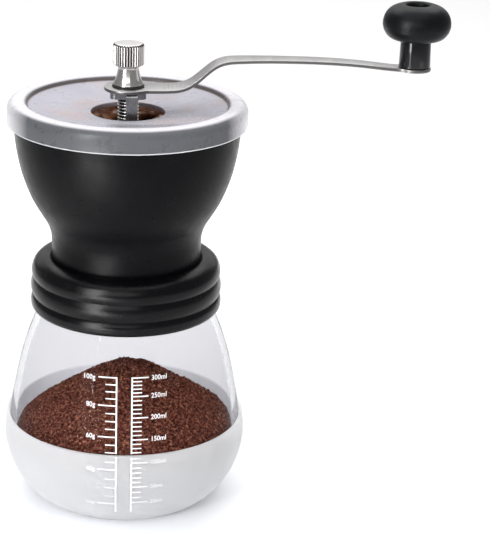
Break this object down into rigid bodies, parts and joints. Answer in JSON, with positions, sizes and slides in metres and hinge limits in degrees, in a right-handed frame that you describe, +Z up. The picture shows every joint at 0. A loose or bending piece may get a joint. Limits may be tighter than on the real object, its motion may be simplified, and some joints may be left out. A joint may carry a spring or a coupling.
{
  "type": "hand crank coffee grinder",
  "caption": "Hand crank coffee grinder: glass jar in a silicone base, screw-on waisted hopper with ceramic cone burrs, lid with a centre hole, and a bent steel crank with a turning knob.",
  "frame": {"origin": "centre of the base, on the surface it stands on", "axes": "+Z up along the shaft, +X along the crank arm at rest, -Y towards the printed scale on the jar"},
  "size_m": [0.166, 0.0936, 0.1973],
  "materials": {
    "glass": "clear moulded glass",
    "silicone_white": "matte white silicone",
    "silicone_clear": "matte",
    "black_satin": "fine satin moulding",
    "nylon": "matte",
    "nylon_black": "matte",
    "ceramic_white": "fired, matte",
    "frosted_lid": "frosted translucent",
    "steel": "bright",
    "steel_satin": "brushed along its length",
    "dark_steel": "dark",
    "washer_black": "matte",
    "chrome_knurl": "polished, knurled head",
    "knob_satin": "satin",
    "knob_gloss": "gloss"
  },
  "bodies": {
    "jar_body": {"jar": "glass", "silicone_base": "silicone_white"},
    "seal_ring": {"jar_seal": "silicone_clear"},
    "head": {"hopper_body": "black_satin", "grip_collar": "black_satin", "shaft_bush": "nylon", "outer_burr": "ceramic_white", "burr_gasket": "silicone_clear", "burr_retainer": "black_satin"},
    "lid": {"hopper_lid": "frosted_lid"},
    "key_washer": {"thrust_washer": "steel"},
    "adjuster": {"adjusting_nut": "dark_steel"},
    "drive": {"drive_shaft": "steel", "lock_plate": "steel", "crank_arm": "steel_satin", "knob_axle": "dark_steel", "knob_washer": "nylon_black", "inner_burr": "ceramic_white", "burr_driver": "nylon_black", "spring_seat": "steel", "burr_spring": "steel", "burr_washer": "steel", "burr_nut": "steel"},
    "knob": {"knob_head": "knob_satin", "knob_sleeve": "knob_gloss"},
    "nut_washer": {"cap_washer": "washer_black"},
    "nut": {"cap_nut": "chrome_knurl"}
  },
  "joints": [
    {"name": "head_rise", "type": "slide", "parent": "jar_body", "child": "seal_ring", "axis": [0, 0, 1], "range_m": [0, 0.00702]},
    {"name": "head_unscrew", "type": "hinge", "parent": "seal_ring", "child": "head", "pos_m": [0, 0, 0.09], "axis": [0, 0, 1], "range_deg": [0, 630]},
    {"name": "lid_lift", "type": "slide", "parent": "head", "child": "lid", "axis": [0, 0, 1], "range_m": [0, 0.003]},
    {"name": "crank_turn", "type": "hinge", "parent": "head", "child": "key_washer", "pos_m": [0, 0, 0.1417], "axis": [0, 0, 1], "continuous": true},
    {"name": "grind_turn", "type": "hinge", "parent": "key_washer", "child": "adjuster", "pos_m": [0, 0, 0.146], "axis": [0, 0, -1], "range_deg": [0, 361.5]},
    {"name": "grind_lift", "type": "slide", "parent": "key_washer", "child": "drive", "axis": [0, 0, 1], "range_m": [0, 0.00125], "deforming": ["burr_spring"]},
    {"name": "knob_spin", "type": "hinge", "parent": "drive", "child": "knob", "pos_m": [0.1065, 0, 0.181], "axis": [0, 0, 1], "continuous": true},
    {"name": "cap_nut_rise", "type": "slide", "parent": "drive", "child": "nut_washer", "axis": [0, 0, 1], "range_m": [0, 0.01002]},
    {"name": "cap_nut_turn", "type": "hinge", "parent": "nut_washer", "child": "nut", "pos_m": [0, 0, 0.17], "axis": [0, 0, 1], "range_deg": [0, 3600]}
  ],
  "couplings": [
    {"joint": "head_rise", "follows": "head_unscrew", "m_per_rad": 0.00063662},
    {"joint": "grind_turn", "follows": "grind_lift", "rad_per_m": 5026.5},
    {"joint": "cap_nut_rise", "follows": "cap_nut_turn", "m_per_rad": 0.00015915}
  ]
}
